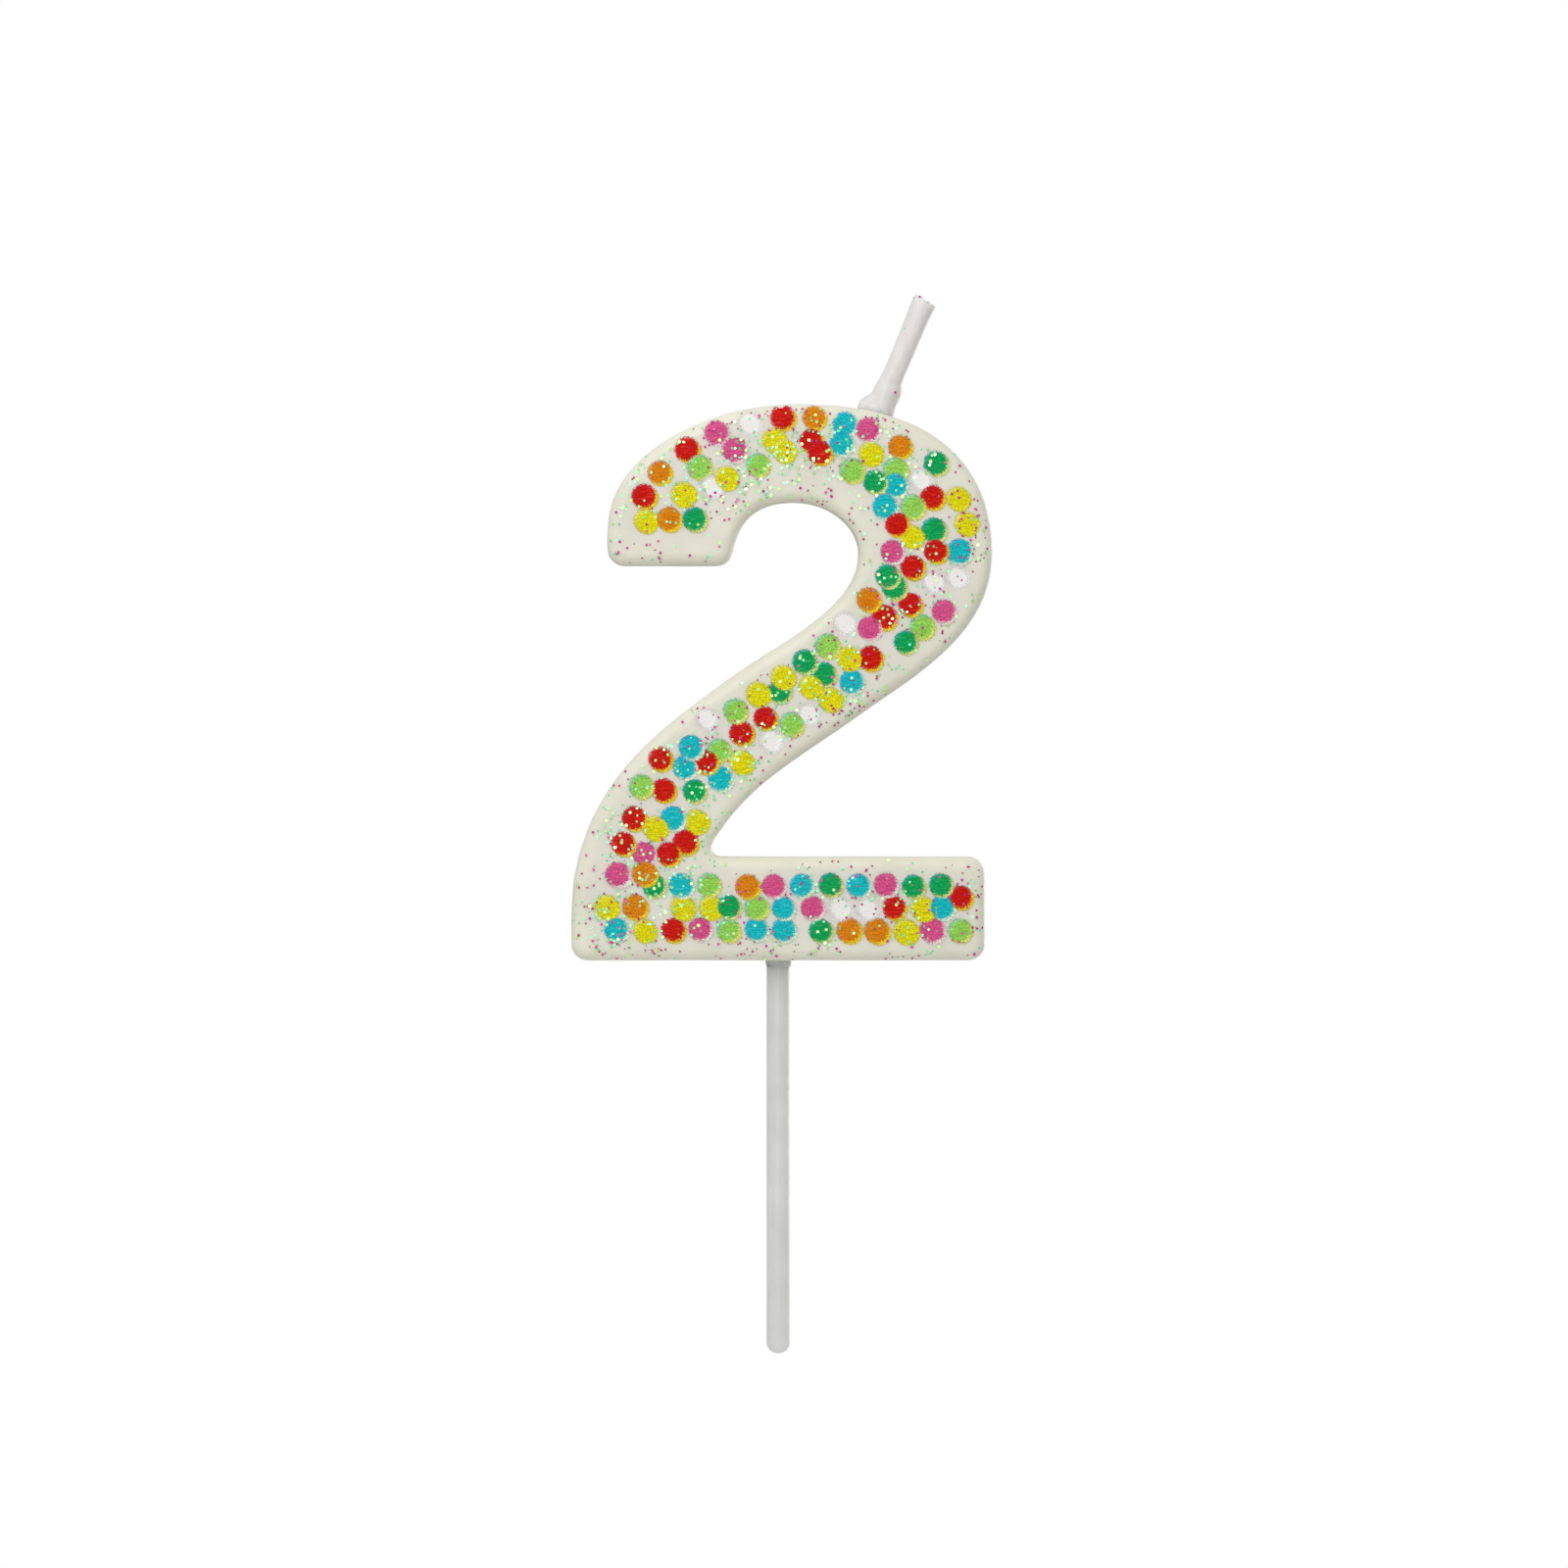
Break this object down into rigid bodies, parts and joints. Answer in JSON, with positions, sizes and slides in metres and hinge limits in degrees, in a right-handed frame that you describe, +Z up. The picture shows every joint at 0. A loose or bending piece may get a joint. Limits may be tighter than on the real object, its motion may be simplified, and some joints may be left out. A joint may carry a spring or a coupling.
{
  "type": "number birthday candle",
  "caption": "Number birthday candle: a cast wax digit on a slim plastic pick, printed with confetti dots, with a glitter finish and a waxed wick that bends.",
  "frame": {"origin": "where the pick's axis crosses the numeral's flat underside, which is level with the top of the cake", "axes": "+Z up along the pick, towards the wick; -Y out of the printed front face; +X to the right as the numeral is read"},
  "size_m": [0.0454, 0.0097, 0.1143],
  "materials": {
    "candle_wax": "satin off-white paraffin wax, slightly translucent, with fine iridescent glitter",
    "transfer_print": "thin heat-transfer ink dots in red, orange, yellow, lime, green, blue, pink and white",
    "clear_plastic": "translucent natural moulded plastic",
    "wick_wax": "thin uneven coat of dipped wax, satin",
    "cotton": "twisted natural cotton yarn"
  },
  "bodies": {
    "pick": {"pick": "clear_plastic"},
    "numeral": {"wax_numeral": "candle_wax", "dot_print": "transfer_print", "wick_ply_lower_1": "cotton", "wick_ply_lower_2": "cotton", "wick_ply_lower_3": "cotton"},
    "wick": {"wick_coat": "wick_wax", "wick_ply_upper_1": "cotton", "wick_ply_upper_2": "cotton", "wick_ply_upper_3": "cotton"}
  },
  "joints": [
    {"name": "numeral_lift", "type": "slide", "parent": "pick", "child": "numeral", "axis": [0, 0, 1], "range_m": [0, 0.012]},
    {"name": "wick_bend", "type": "hinge", "parent": "numeral", "child": "wick", "pos_m": [0.01165, 0, 0.06132], "axis": [0, 1, 0], "range_deg": [-35, 35]}
  ]
}
